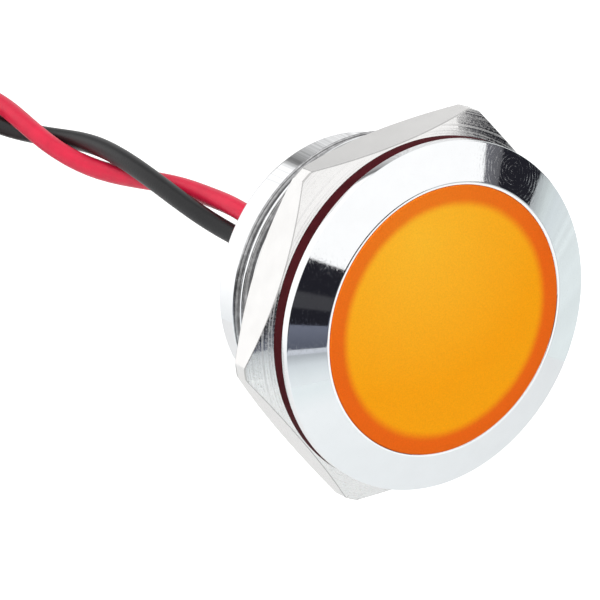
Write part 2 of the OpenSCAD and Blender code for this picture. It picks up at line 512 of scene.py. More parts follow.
@dataclass(frozen=True)
class PlatedMetal:
    """Plated metal with the marks of its tool under the plate, or of the wheel that polished it."""

    name: str
    colour: Colour
    roughness: float
    grain: Grain
    pitch: float
    depth: float
    cloud: float = 0.04
    cloud_size: float = 1.6
    tool_rough: tuple[float, float] = (0.75, 1.3)
    turned_pitch: float = 0.2
    turned_depth: float = 0.016
    turned_rough: tuple[float, float] = (0.11, 0.38)
    cone_slope: float = 0.2
    # The edge slopes and tone set a painted dark line on the rounded edges of drawn bar, standing in for the
    # darker light that they mirror.
    edge_slopes: tuple[float, float] = (0.12, 0.78)
    painted_edge_tone: float = 0.62
    polish_spot: Colour | None = None
    polish_pitch: float = 0.27
    brush_pitch: float = 0.07
    scuffing: float = 0.21

    def make(self) -> Material:
        """Returns the material."""
        recipe = Recipe(self.name)
        cloud = recipe.swing(recipe.noise(self.cloud_size, detail=4), 0.15, 0, 1)
        colour = recipe.mix(cloud, tuple(c * (1 - self.cloud) for c in self.colour), self.colour)
        if self.grain is Grain.DRAWN:
            return self.draw(recipe, colour)
        marks = recipe.rings(self.pitch)
        rough = recipe.swing(marks, 0.2, *(self.roughness * share for share in self.tool_rough))
        if self.polish_spot:
            arcs = recipe.whorls(self.polish_spot, self.polish_pitch)
            brushed = recipe.noise(self.brush_pitch, recipe.stretched((1, 1, 0.25)), 2)
            scuff = recipe.math("MAXIMUM", arcs, recipe.between(brushed, 0.52, 0.72, 0, 0.5))
            rough = recipe.math("ADD", rough, recipe.times(scuff, self.scuffing))
        return recipe.surface({"Base Color": colour, "Metallic": 1.0, "Roughness": rough,
                               "Normal": recipe.bump(marks, self.depth)})

    def draw(self, recipe: Recipe, colour: Socket) -> Material:
        """Finishes drawn bar: grained flats, turned cones, and a painted dark line where the two meet,
        standing in for the darker reflection of the rounded edge between them.

        Args:
            recipe: the nodes so far.
            colour: the plate's colour.

        Returns:
            The material.
        """
        slope = recipe.math("ABSOLUTE", recipe.parts(recipe.node("TexCoord").outputs["Normal"])[1])
        on_cone = recipe.math("GREATER_THAN", slope, self.cone_slope)
        turned = recipe.rings(self.turned_pitch)
        drawn = recipe.noise(self.pitch, recipe.stretched((1, 0.12, 1)), 4, 0.6)
        relief = recipe.node("Mix", {
            "Factor": on_cone, "A": recipe.bump(drawn, self.depth),
            "B": recipe.bump(turned, self.turned_depth)}, data_type="VECTOR").outputs["Result"]
        broken = recipe.math("ADD", recipe.times(turned, 0.6), recipe.times(recipe.noise(0.16), 0.4))
        rough = recipe.node("Mix", {
            "Factor": on_cone, "A": self.roughness,
            "B": recipe.swing(broken, 0.1, *self.turned_rough)}).outputs[0]
        # Painted dark reflection: the rounded edges between flats and chamfers are darkened in colour.
        low, high = self.edge_slopes
        on_edge = recipe.times(recipe.math("GREATER_THAN", slope, low),
                               recipe.math("LESS_THAN", slope, high))
        painted_edge_colour = recipe.scaled(colour, recipe.between(on_edge, 0, 1, 1, self.painted_edge_tone))
        return recipe.surface({"Base Color": painted_edge_colour, "Metallic": 1.0, "Roughness": rough,
                               "Normal": relief})


@dataclass(frozen=True)
class ThreadPlate:
    """A plated thread: crests rubbed smooth and left in the plate's own colour, flanks darkened with painted
    shade and streaked by the die.
    """

    name: str
    crest: float
    bright: Colour = (0.88, 0.89, 0.90)
    # The flanks' colour is painted shade, darker than the plate, as between the turns of a thread.
    flank_shade: Colour = (0.32, 0.32, 0.325)
    fade: float = 0.05
    streak: float = 0.07
    streak_tones: tuple[float, float] = (0.15, 2.1)
    blotch_tones: tuple[float, float] = (0.6, 1.3)
    roughness: tuple[float, float] = (0.24, 0.08)
    relief: float = 0.002

    def make(self) -> Material:
        """Returns the material."""
        recipe = Recipe(self.name)
        # The colour darkens from the crest down into the flanks: painted shade, with the die's streaks and
        # blotches through it.
        low, high = (self.crest - self.fade) * MM, (self.crest - self.fade / 3) * MM
        on_crest = recipe.between(recipe.radius(), low, high, 0, 1)
        streaks = recipe.rings(self.streak)
        tone = recipe.times(recipe.swing(streaks, 0.15, *self.streak_tones),
                            recipe.swing(recipe.noise(0.5, detail=4), 0.2, *self.blotch_tones))
        return recipe.surface({
            "Base Color": recipe.mix(on_crest, recipe.scaled(self.flank_shade, tone), self.bright),
            "Metallic": 1.0, "Roughness": recipe.between(on_crest, 0, 1, *self.roughness),
            "Normal": recipe.bump(streaks, self.relief)})


@dataclass(frozen=True)
class LensPlastic:
    """Translucent amber plastic with a fine matt front, darker over its skirt, and a painted highlight that
    turns it pale up and to the left.
    """

    name: str = "amber_lens"
    middle: Colour = (0.94, 0.355, 0.004)
    edge: Colour = (0.82, 0.128, 0.006)
    # A painted highlight: pale colour round a spot up and to the left of the middle, fading out over its
    # reach and weaker over the skirt.
    pale: Colour = (1.0, 0.60, 0.045)
    highlight_spot: tuple[float, float] = (-2.2, 6.4)
    highlight_reach: float = 11.2
    skirt_inner: float = 8.3
    fade: float = 0.8
    wander: float = 0.12
    highlight_strength: float = 0.5
    highlight_on_skirt: float = 0.3
    speckle: tuple[float, float] = (0.94, 1.06)
    roughness: float = 0.42

    def make(self) -> Material:
        """Returns the material."""
        recipe = Recipe(self.name)
        wander = recipe.times(recipe.math("SUBTRACT", recipe.noise(1.2), 0.5), self.wander * MM)
        reach = recipe.math("ADD", recipe.radius(), wander)
        low, high = (self.skirt_inner - self.fade / 2) * MM, (self.skirt_inner + self.fade / 2) * MM
        over_skirt = recipe.between(reach, low, high, 0, 1, interpolation_type="SMOOTHSTEP")
        # Painted highlight: the colour is mixed towards pale round a spot up and to the left, less so over
        # the skirt.
        x, _, z = recipe.parts(recipe.place())
        off = recipe.node("CombineXYZ", {0: recipe.math("SUBTRACT", x, self.highlight_spot[0] * MM),
                                         2: recipe.math("SUBTRACT", z, self.highlight_spot[1] * MM)}).outputs[0]
        highlight_spot = recipe.between(recipe.length(off), 0, self.highlight_reach * MM, self.highlight_strength, 0)
        highlight_strength = recipe.times(highlight_spot, recipe.between(over_skirt, 0, 1, 1, self.highlight_on_skirt))
        tint = recipe.mix(highlight_strength, recipe.mix(over_skirt, self.middle, self.edge), self.pale)
        colour = recipe.scaled(tint, recipe.swing(recipe.noise(0.12, detail=2), 0.2, *self.speckle))
        grain = recipe.bump(recipe.noise(0.07, detail=2), 0.006, 0.6)
        return recipe.surface({
            "Base Color": colour, "Roughness": self.roughness, "Normal": grain, "IOR": 1.49,
            "Subsurface Weight": 0.12, "Subsurface Radius": (1.0, 0.35, 0.1), "Subsurface Scale": 0.0012,
            "Specular IOR Level": 0.03})


@dataclass(frozen=True)
class Plastic:
    """Moulded or cast plastic."""

    name: str
    colour: Colour
    roughness: float = 0.4
    texture: float = 0.1
    relief: float = 0.004
    specular: float = 0.5
    cloud: float = 1.5
    tones: tuple[float, float] = (0.9, 1.08)

    def make(self) -> Material:
        """Returns the material."""
        recipe = Recipe(self.name)
        dark, light = (tuple(min(1, c * tone) for c in self.colour) for tone in self.tones)
        tint = recipe.ramp(recipe.noise(self.cloud, detail=4), ((0.3, dark), (0.7, light)))
        skin = recipe.bump(recipe.noise(self.texture), self.relief, 0.7)
        return recipe.surface({"Base Color": tint, "Roughness": self.roughness, "Normal": skin,
                               "Specular IOR Level": self.specular})


@dataclass(frozen=True)
class Rubber(Plastic):
    """Dull moulded rubber with a fine skin."""

    roughness: float = 0.65
    texture: float = 0.09
    relief: float = 0.008
    specular: float = 0.04
    cloud: float = 0.8
    tones: tuple[float, float] = (0.8, 1.15)


@dataclass(frozen=True)
class BandedLacquer:
    """A resistor's lacquer with its coloured bands."""

    name: str = "resistor_lacquer"
    colour: Colour = (0.10, 0.27, 0.42)
    bands: Stops = (
        (-1.9, (0.30, 0.08, 0.03)), (-0.9, (0.02, 0.02, 0.02)), (0.1, (0.75, 0.30, 0.02)),
        (1.9, (0.55, 0.38, 0.08)))
    width: float = 0.45
    roughness: float = 0.25
    dip: float = 0.02

    def make(self) -> Material:
        """Returns the material."""
        recipe = Recipe(self.name)
        _, _, along = recipe.parts(recipe.place())
        paint = self.colour
        for at, colour in self.bands:
            away = recipe.math("ABSOLUTE", recipe.math("SUBTRACT", along, at * MM))
            paint = recipe.mix(recipe.math("LESS_THAN", away, self.width / 2 * MM), paint, colour)
        skin = recipe.bump(recipe.noise(0.5), self.dip, 0.5)
        return recipe.surface({"Base Color": paint, "Roughness": self.roughness, "Normal": skin})


@dataclass(frozen=True)
class Finishes:
    """Every finish of the light, made once."""

    bright: Material
    thread: Material
    nickel: Material
    lens: Material
    seal: Material
    gasket: Material
    resin: Material
    red: Material
    black: Material
    tin: Material
    white: Material
    board: Material
    lamp: Material
    lacquer: Material
    block: Material
    tie: Material

    @classmethod
    def mix(cls) -> "Finishes":
        """Returns the finishes, each as a material."""
        return cls(
            bright=PlatedMetal("bright_plate", (0.88, 0.89, 0.90), 0.025, Grain.TURNED, 0.05, 0.0002,
                               cloud=0.02, polish_spot=(6.1, -1.1, 9.4)).make(),
            thread=ThreadPlate("thread_plate", 10.95).make(),
            nickel=PlatedMetal("nickel_plate", (0.83, 0.822, 0.812), 0.22, Grain.DRAWN, 0.07, 0.003).make(),
            lens=LensPlastic().make(),
            seal=Rubber("maroon_rubber", (0.058, 0.006, 0.009)).make(),
            gasket=Rubber("black_rubber", (0.02, 0.02, 0.02)).make(),
            resin=Plastic("potting_resin", (0.012, 0.012, 0.014), 0.18, 0.8, 0.01).make(),
            red=Plastic("red_insulation", (0.68, 0.012, 0.052), 0.36, 0.16, 0.02, 0.25).make(),
            black=Plastic("black_insulation", (0.010, 0.010, 0.011), 0.36, 0.16, 0.02, 0.28).make(),
            tin=PlatedMetal("tinned_wire", (0.72, 0.72, 0.73), 0.22, Grain.TURNED, 0.2, 0.002).make(),
            white=Plastic("white_moulding", (0.85, 0.85, 0.83), 0.5).make(),
            board=Plastic("board_mask", (0.015, 0.12, 0.05), 0.35, 0.3, 0.004).make(),
            lamp=Plastic("lamp_window", (0.85, 0.62, 0.12), 0.35).make(),
            lacquer=BandedLacquer().make(),
            block=Plastic("black_moulding", (0.02, 0.02, 0.022), 0.5, 0.12, 0.01).make(),
            tie=Plastic("tie_moulding", (0.80, 0.80, 0.78), 0.4, 0.2, 0.004).make(),
        )


# Sub-assemblies


@dataclass
class Thread:
    """A 60 degree screw thread, right-handed, as one ridge wound round the axis."""

    crest: float
    root: float
    pitch: float = 1.0
    flat: float = 0.125
    flank: float = 30.0
    foot_share: float = 0.99
    sunk: float = 0.12
    steps: int = 144

    def wind(self, name: str, section: Profile, crest_at: float) -> Piece:
        """Winds the ridge and cuts it to the section that its ends and chamfers leave.

        Args:
            name: the new piece's name.
            section: (radius, y) of the corners it is cut to, in millimetres.
            crest_at: y of a crest on the +X side, give or take whole turns.

        Returns:
            The ridge, whose foot lies a little inside the metal that carries it.
        """
        low, high = min(y for _, y in section), max(y for _, y in section)
        foot = self.root - math.copysign(self.sunk, self.crest - self.root)
        half = min(self.flat / 2 + abs(self.crest - foot) * math.tan(math.radians(self.flank)),
                   self.pitch / 2 * self.foot_share)
        start = crest_at - self.pitch * (math.ceil((crest_at - low) / self.pitch) + 1)
        turns = math.ceil((high - start) / self.pitch) + 1
        corners = [(foot, start - half), (self.crest, start - self.flat / 2),
                   (self.crest, start + self.flat / 2), (foot, start + half)]
        obj = line_of_edges(name, corners, closed=True)
        bpy.ops.object.mode_set(mode="OBJECT")
        apply_modifier(obj, "SCREW", axis="Y", angle=FULL_TURN, screw_offset=self.pitch * MM,
                       iterations=turns, steps=self.steps, render_steps=self.steps,
                       use_merge_vertices=False, use_smooth_shade=False)
        with editing(obj):
            bpy.ops.mesh.fill_holes(sides=len(corners))
        clean(obj)
        cut_to(obj, section)
        return obj


@dataclass
class Housing:
    """Head, threaded barrel and collar, turned from one bar.

    The thread's ridge is cut with a bed inside the metal, a spare height over its crest, a run-in
    before its start and a gap before the collar.
    """

    land: float = 0.25
    rim: float = 0.65
    gap: float = 0.008
    edge: float = 0.07
    collar_step: float = 2.5
    collar_round: float = 0.3
    thread_start: float = 1.2
    thread_end: float = 8.5
    thread_depth: float = 0.61
    undercut: float = 0.1
    chamfer: float = 0.4
    crest_at: float = 0.6
    crest_edge: float = 0.02
    bed: float = 0.2
    spare: float = 0.02
    run_in: float = 0.15
    end_gap: float = 0.01

    def build(self, finishes: Finishes) -> None:
        """Turns the housing, winds its thread and fits both.

        Args:
            finishes: the finishes to use.
        """
        head, front, rear = span("housing")
        mouth, bore = span("lens")[0] + self.gap, span("potting_resin")[0]
        crest, collar = thread_crest(), head - self.collar_step
        root, start, end = crest - self.thread_depth, self.thread_start, self.thread_end
        neck = root - self.undercut
        arc = [(collar - self.collar_round * (1 - math.cos(a)), rear - self.collar_round * (1 - math.sin(a)))
               for a in quarter(5)]
        body = turn("turned_housing", [
            (mouth, front), (mouth + self.land - self.gap, front), (head, -self.rim), (head, 0),
            (neck, 0), (neck, start - self.undercut), (root, start), (root, end), (collar, end),
            *arc, (bore, rear), (bore, 0), (mouth, 0)])
        break_edges(body, self.edge, segments=3, angle=19)
        smooth(body)
        fit(body, finishes.bright, Body.LAMP, "bright_plate", "housing")

        inside, outside, lowered = root - self.bed, crest + self.spare, crest - self.chamfer
        low, high, slope = start - self.run_in, end - self.end_gap, outside - lowered
        ridge = Thread(crest, root).wind("barrel_thread", [
            (inside, low), (lowered, low), (outside, low + slope),
            (outside, high - slope), (lowered, high), (inside, high)], self.crest_at)
        break_edges(ridge, self.crest_edge)
        smooth(ridge)
        fit(ridge, finishes.thread, Body.LAMP, "bright_plate")


@dataclass
class Lens:
    """The amber cap: a faintly domed front with a soft edge, and its skirt."""

    edge: float = 0.07
    dip: float = 0.001
    dome: float = 0.008
    rings: tuple[float, ...] = (0, 0.2, 0.4, 0.6, 0.8, 0.93)
    flange: float = 0.25
    skirt_wall: float = 0.75

    def build(self, finishes: Finishes) -> None:
        """Turns the cap and fits it.

        Args:
            finishes: the finishes to use.
        """
        radius, front, rear = span("lens")
        skirt, _, _ = span("reflector_cup")
        face = [(radius * share, front + self.dip + self.dome * share ** 4) for share in self.rings]
        bend = [(radius - self.edge * (1 - math.sin(a)), front + self.edge * (1 - math.cos(a)))
                for a in quarter(6)]
        cap = turn("amber_lens", [
            *face, *bend, (radius, -self.flange), (skirt, -self.flange), (skirt, rear),
            (skirt - self.skirt_wall, rear), (skirt - self.skirt_wall, 0), (0, 0)], closed=False)
        smooth(cap)
        fit(cap, finishes.lens, Body.LAMP, "amber_lens", "lens")


@dataclass
class Seal:
    """The rubber ring, squeezed so that its outside bulges and its corners draw in."""

    wall: float = 1.45
    bulge: float = 0.03
    corner: float = 0.1
    shoulder: float = 0.55
    rows: int = 16

    def build(self, finishes: Finishes) -> None:
        """Turns the ring and fits it.

        Args:
            finishes: the finishes to use.
        """
        outer, front, rear = span("sealing_ring")
        inner, middle, half = outer - self.wall, (front + rear) / 2, (rear - front) / 2
        side = [(outer - self.bulge * t * t - self.corner * max(0.0, abs(t) - self.shoulder) ** 2,
                 middle + half * t)
                for t in (2 * k / self.rows - 1 for k in range(self.rows + 1))]
        ring = turn("rubber_seal", [(inner, front), *side, (inner, rear)])
        smooth(ring, angle=50)
        fit(ring, finishes.seal, Body.SEAL, "maroon_rubber", "sealing_ring")


@dataclass
class Nut:
    """The hexagon nut, cut from drawn bar, chamfered, tapped and plated.

    The cuts pass over its faces and over the thread's crest by a hair, and leave the thread's ridge
    a bed inside the metal.
    """

    flats: float = 25.0
    corners: float = 28.3
    turned: float = 8.8
    face: float = 24.5
    chamfer: float = 30.0
    edge: float = 0.06
    clearance: float = 0.05
    countersink: float = 0.45
    thread_depth: float = 0.5
    crest_at: float = 0.1
    over_face: float = 0.01
    over_crest: float = 0.05
    lead: float = 0.02
    bed: float = 0.2

    def build(self, finishes: Finishes) -> None:
        """Makes the nut and its inside thread and fits both.

        Args:
            finishes: the finishes to use.
        """
        _, front, rear = span("hex_nut")
        put_down()
        bpy.ops.mesh.primitive_cylinder_add(
            vertices=6, radius=self.flats / 2 / math.cos(math.radians(30)) * MM, depth=(rear - front) * MM,
            end_fill_type="NGON", location=(0, (front + rear) / 2 * MM, 0), rotation=(math.pi / 2, 0, 0))
        nut = bpy.context.object
        nut.name = "plated_nut"
        settle(nut)
        corner = nut.data.vertices[0].co
        away = math.atan2(corner.z, corner.x) - math.radians(self.turned)
        nut.data.transform(Matrix.Rotation(away, 4, "Y"))

        bore, sink, wide = thread_crest() + self.clearance, self.countersink, self.corners / 2
        over, half = self.over_face, self.face / 2
        inner, before, behind = half - 2 * over, front - over, rear + over
        drop = (wide - half) * math.tan(math.radians(self.chamfer))
        cut_to(nut, [
            (bore + sink, before), (inner, before), (wide, front + drop), (wide, rear - drop),
            (inner, behind), (bore + sink, behind), (bore, rear - sink), (bore, front + sink)])
        break_edges(nut, self.edge, angle=20)
        smooth(nut, angle=40)
        fit(nut, finishes.nickel, Body.NUT, "nickel_plate", "hex_nut")

        crest, outside = bore - self.thread_depth, bore + self.bed
        inside, mouth = crest - self.over_crest, bore + self.lead + sink
        ridge = Thread(crest, bore).wind("nut_thread", [
            (outside, front + mouth - outside), (inside, front + mouth - inside),
            (inside, rear - mouth + inside), (outside, rear - mouth + outside)], self.crest_at)
        smooth(ridge)
        fit(ridge, finishes.nickel, Body.NUT, "nickel_plate")


@dataclass
class Potting:
    """The cast resin that closes the barrel, raised a little where it wets the wall."""

    creep: float = 0.22
    wetted_from: float = 0.8
    rings: tuple[float, ...] = (0.3, 0.5, 0.7, 0.8, 0.84, 0.88, 0.92, 0.95, 0.975, 1)

    def build(self, finishes: Finishes) -> None:
        """Turns the resin and fits it.

        Args:
            finishes: the finishes to use.
        """
        wall, front, level = span("potting_resin")
        climb = (max(0.0, (share - self.wetted_from) / (1 - self.wetted_from)) for share in self.rings)
        rise = [(wall * share, level + self.creep * up ** 3) for share, up in zip(self.rings, climb)]
        resin = turn("cast_resin", [(0, front), (wall, front), *reversed(rise), (0, level)], closed=False)
        smooth(resin, angle=50)
        fit(resin, finishes.resin, Body.LAMP, "potting_black", "potting_resin")


class Side(Enum):
    """The two leads, by the side of the pair that each lies on."""

    RED = 1
    BLACK = -1


@dataclass
class WireEnd:
    """A stripped end: strands laid up in a twist and tinned together."""

    name: str
    node: str
    strands: int = 6
    strand_sides: int = 7
    groove: float = 0.1
    rows: int = 24
    twist: float = 9.0
    tapered: int = 3
    taper: float = 0.86

    def make(self) -> Piece:
        """Draws the end out row by row from its section, and returns it."""
        low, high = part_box(self.node)
        middle, radius, length = (low + high) / 2, (high.x - low.x) / 2, high.y - low.y
        put_down()
        bpy.ops.mesh.primitive_circle_add(
            vertices=self.strands * self.strand_sides, radius=radius, fill_type="NGON",
            location=(middle.x, low.y, middle.z), rotation=(math.pi / 2, 0, 0))
        obj = bpy.context.object
        obj.name = self.name
        settle(obj)
        for vertex in obj.data.vertices:
            x, z = vertex.co.x - middle.x, vertex.co.z - middle.z
            share = 1 - self.groove * (1 - abs(math.cos(self.strands / 2 * math.atan2(z, x))))
            vertex.co.x, vertex.co.z = middle.x + x * share, middle.z + z * share
        with editing(obj):
            for row in range(1, self.rows + 1):
                bpy.ops.mesh.extrude_region_move(
                    TRANSFORM_OT_translate={"value": (0, length / self.rows, 0)})
                here = (middle.x, low.y + length * row / self.rows, middle.z)
                bpy.ops.transform.rotate(value=math.radians(self.twist), orient_axis="Y",
                                         center_override=here)
                if row > self.rows - self.tapered:
                    bpy.ops.transform.resize(value=(self.taper, 1, self.taper), center_override=here)
        clean(obj)
        smooth(obj, angle=60)
        return obj


@dataclass
class Leads:
    """The twisted pair, from the resin along its route into the coil, and on to the tips.

    The route holds the red lead's angle round the pair at depths behind the head. An arch holds how
    high it lifts a lead, at what depth its middle is, and how far it reaches.
    """

    diameter: float = 1.4
    drop: float = 0.3
    spacing: float = 1.56
    tip_spacing: float = 2.6
    route: tuple[tuple[float, float], ...] = (
        (10.7, 90), (15, 84), (20, 72), (24, 56), (29, 14), (34, -34), (39, -88),
        (44, -148), (49, -212), (54, -274), (60, -340))
    arch: tuple[float, float, float] = (0.65, 32.5, 8.0)
    red_arch: tuple[float, float, float] = (0.2, 24.0, 3.0)
    coil_y: float = 64.5
    coil_radius: float = 6.8
    coil_pitch: float = 3.1
    coil_turns: int = 2
    coil_angles: tuple[float, float] = (-396, -1500)
    coil_ease: float = 0.2
    tail: tuple[float, float] = (70, 75)
    tail_angle: float = -1620
    step: float = 0.7
    tie_wall: float = 0.3
    tie_round: float = 0.8
    tie_edge: float = 0.05
    lock_length: float = 1.8
    lock_width: float = 0.98
    lock_height: float = 0.5
    lock_shift: float = 2.2
    lock_sunk: float = 0.1
    points: dict[Side, list[Vector]] = field(default_factory=dict)

    def angle_at(self, y: float) -> float:
        """Returns the red lead's angle round the pair on the straight stretch.

        Args:
            y: the depth behind the head, in millimetres.

        Returns:
            The angle from the right towards the top, in degrees.
        """
        stations = [*self.route, (self.coil_y, self.coil_angles[0])]
        at = max(i for i, (start, _) in enumerate(stations[:-1]) if start <= y + 1e-9)
        slopes = [(b[1] - a[1]) / (b[0] - a[0]) for a, b in zip(stations, stations[1:])]
        before = (slopes[max(at - 1, 0)] + slopes[at]) / 2
        after = (slopes[at] + slopes[min(at + 1, len(slopes) - 1)]) / 2
        (y0, a0), (y1, a1) = stations[at], stations[at + 1]
        t, wide = (y - y0) / (y1 - y0), y1 - y0
        return (a0 * (1 + 2 * t) * (1 - t) ** 2 + before * wide * t * (1 - t) ** 2
                + a1 * t * t * (3 - 2 * t) + after * wide * t * t * (t - 1))

    def lift_at(self, side: Side, y: float) -> float:
        """Returns how far a lead is arched up above the straight line, in millimetres.

        Args:
            side: which lead.
            y: the depth behind the head, in millimetres.
        """
        arches = (self.arch, self.red_arch) if side is Side.RED else (self.arch,)
        return sum(rise * math.exp(-((y - middle) / reach) ** 2) for rise, middle, reach in arches)

    def stretch(self, side: Side) -> list[Vector]:
        """Returns the middle of one lead from the resin to the coil, in millimetres.

        Args:
            side: which lead.
        """
        reach, start = side.value * self.spacing / 2, self.route[0][0]
        line = []
        for t in shares((self.coil_y - start) / self.step):
            y = part_way(start, self.coil_y, t)
            a = math.radians(self.angle_at(y))
            line.append(Vector((reach * math.cos(a), y,
                                self.lift_at(side, y) - self.drop + reach * math.sin(a))))
        return line

    def coil(self, side: Side) -> list[Vector]:
        """Returns the middle of one lead round the coil, in millimetres.

        Args:
            side: which lead.
        """
        reach, turned = side.value * self.spacing / 2, FULL_TURN * self.coil_turns
        aside = -self.coil_pitch * self.coil_turns
        line = []
        for t in shares(turned * self.coil_radius / self.step):
            a = math.radians(part_way(*self.coil_angles, t))
            out = Vector((0, math.sin(turned * t), math.cos(turned * t)))
            middle = Vector((aside * part_way(t, eased(t), self.coil_ease), self.coil_y,
                             -self.drop - self.coil_radius)) + out * self.coil_radius
            line.append(middle + reach * (Vector((math.cos(a), 0, 0)) + out * math.sin(a)))
        return line

    def far_end(self, side: Side) -> list[Vector]:
        """Returns the middle of one lead from the coil to its tip, in millimetres.

        Args:
            side: which lead.
        """
        aside, (fan, last) = -self.coil_pitch * self.coil_turns, self.tail
        line = []
        for t in [*shares((last - self.coil_y) / self.step), 1.0]:
            y = part_way(self.coil_y, last, t)
            a = math.radians(part_way(self.coil_angles[1], self.tail_angle, eased(t)))
            opened = max(0.0, (y - fan) / (last - fan))
            wide = side.value * part_way(self.spacing, self.tip_spacing, opened) / 2
            line.append(Vector((aside + wide * math.cos(a), y, -self.drop + wide * math.sin(a))))
        return line

    def lay(self, side: Side, name: str) -> Piece:
        """Makes one lead as a round tube on its route.

        Args:
            side: which lead.
            name: the new piece's name.

        Returns:
            The lead.
        """
        self.points[side] = [*self.stretch(side), *self.coil(side), *self.far_end(side)]
        curve = bpy.data.curves.new(name, "CURVE")
        curve.dimensions = "3D"
        curve.bevel_depth = self.diameter / 2 * MM
        curve.bevel_resolution = 6
        curve.use_fill_caps = True
        spline = curve.splines.new("POLY")
        spline.points.add(len(self.points[side]) - 1)
        for place, point in zip(spline.points, self.points[side]):
            place.co = (*(point * MM), 1)
        spline.use_smooth = True
        obj = bpy.data.objects.new(name, curve)
        bpy.context.scene.collection.objects.link(obj)
        return obj

    def tie(self) -> Piece:
        """Makes the band that holds the coil together, with its lock.

        Returns:
            The band, round the lowest part of the coil.
        """
        low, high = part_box("lead_tie")
        middle, width = (low.y + high.y) / 2, high.y - low.y
        reach, wall = (self.spacing + self.diameter) / 2, self.tie_wall
        left, right = -self.coil_pitch * 1.5 - reach, -self.coil_pitch * 0.5 + reach
        foot = -self.drop - 2 * self.coil_radius
        put_down()
        bpy.ops.mesh.primitive_cube_add(size=1, location=((left + right) / 2 * MM, middle, foot * MM))
        band = bpy.context.object
        band.name = "coil_band"
        band.scale = ((right - left + 2 * wall) * MM, width, 2 * (reach + wall) * MM)
        settle(band)
        round_corners(band, reach * self.tie_round)
        with editing(band, "FACE", lambda face: abs(face.normal.y) > 0.9):
            bpy.ops.mesh.inset(thickness=wall * MM)
            bpy.ops.mesh.bridge_edge_loops()
        clean(band)
        put_down()
        bpy.ops.mesh.primitive_cube_add(size=1, location=(
            (left + self.lock_shift) * MM, middle, (foot - reach - self.lock_sunk) * MM))
        lock = bpy.context.object
        lock.scale = (self.lock_length * MM, width * self.lock_width, self.lock_height * MM)
        settle(lock)
        band.select_set(True)
        bpy.context.view_layer.objects.active = band
        bpy.ops.object.join()
        break_edges(band, self.tie_edge, angle=30)
        smooth(band)
        return band

    def build(self, finishes: Finishes) -> None:
        """Args:
            finishes: the finishes to use.
        """
        red, black = self.lay(Side.RED, "red_wire"), self.lay(Side.BLACK, "black_wire")
        red_tip = WireEnd("red_wire_end", "red_lead_tip").make()
        black_tip = WireEnd("black_wire_end", "black_lead_tip").make()
        band = self.tie()
        fit(red, finishes.red, Body.LAMP, "red_insulation", "red_lead", "lead_coil")
        fit(black, finishes.black, Body.LAMP, "black_insulation", "black_lead", "lead_coil")
        fit(red_tip, finishes.tin, Body.LAMP, "tinned_metal", "red_lead_tip")
        fit(black_tip, finishes.tin, Body.LAMP, "tinned_metal", "black_lead_tip")
        fit(band, finishes.tie, Body.LAMP, "tie_plastic", "lead_tie")


@dataclass
class Workings:
    """What is inside the barrel: solids of the frame that only need their finish."""

    leds: int = 6

    def build(self, finishes: Finishes) -> None:
        """Dresses every inner solid.

        Args:
            finishes: the finishes to use.
        """
        table = {
            finishes.gasket: ["lens_gasket"],
            finishes.white: ["diffuser", "reflector_cup"],
            finishes.board: ["circuit_board"],
            finishes.lamp: [f"led_{i + 1}" for i in range(self.leds)],
            finishes.lacquer: ["resistor_1", "resistor_2"],
            finishes.block: ["bridge_rectifier"],
            finishes.tin: ["red_solder", "black_solder"],
            finishes.red: ["red_lead_root"],
            finishes.black: ["black_lead_root"],
        }
        for finish, nodes in table.items():
            for node in nodes:
                dress(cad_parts[node], finish)
                LOG.info("%s is dressed", node)


# Studio


def towards(azimuth: float, elevation: float) -> Vector:
    """Returns the direction from the light to a place in the studio.

    Args:
        azimuth: from -Y towards +X, in degrees.
        elevation: above the horizon, in degrees.
    """
    a, e = math.radians(azimuth), math.radians(elevation)
    return Vector((math.sin(a) * math.cos(e), -math.cos(a) * math.cos(e), math.sin(e)))


def plain(colour: Colour) -> Stops:
    """Returns the stops of a card of one colour."""
    return (0.0, colour), (1.0, colour)


def greys(*stops: tuple[float, float]) -> Stops:
    """Returns the stops of a card of greys, from the place and strength of each."""
    return tuple((at, (strength,) * 3) for at, strength in stops)


@dataclass(frozen=True)
class Card:
    """A sheet of board that only shows in the polished metal.

    Its sides are angles round the light in degrees, and its distance is in metres.
    """

    name: str
    left: float
    right: float
    bottom: float
    top: float
    stops: Stops
    upright: bool = False
    lean: float = 0.0
    distance: float = 0.16
    streaks: float = 0.0
    folds: float = 60.0

    def hang(self) -> None:
        """Bends the sheet round the light and hangs it in the studio."""
        put_down()
        bpy.ops.mesh.primitive_grid_add(x_subdivisions=24, y_subdivisions=16, size=1, calc_uvs=True)
        sheet = bpy.context.object
        sheet.name = self.name
        for vertex in sheet.data.vertices:
            elevation = part_way(self.bottom, self.top, vertex.co.y + 0.5)
            azimuth = (part_way(self.left, self.right, vertex.co.x + 0.5)
                       + self.lean * (elevation - self.bottom))
            vertex.co = towards(azimuth, elevation) * self.distance
        recipe = Recipe(self.name)
        across, up, _ = recipe.parts(recipe.node("TexCoord").outputs["UV"])
        paint = recipe.ramp(up if self.upright else across, self.stops)
        if self.streaks:
            folds = recipe.stripes(across, self.folds, 3.0, 0.5)
            paint = recipe.scaled(paint, recipe.swing(folds, 0.2, 1 - self.streaks, 1 + self.streaks))
        glow = recipe.node("Emission", {"Color": paint, "Strength": 1.0})
        recipe.tree.links.new(glow.outputs[0], recipe.output.inputs["Surface"])
        dress(sheet, recipe.material)
        sheet.visible_camera = False
        sheet.visible_diffuse = False
        sheet.visible_transmission = False
        sheet.visible_shadow = False


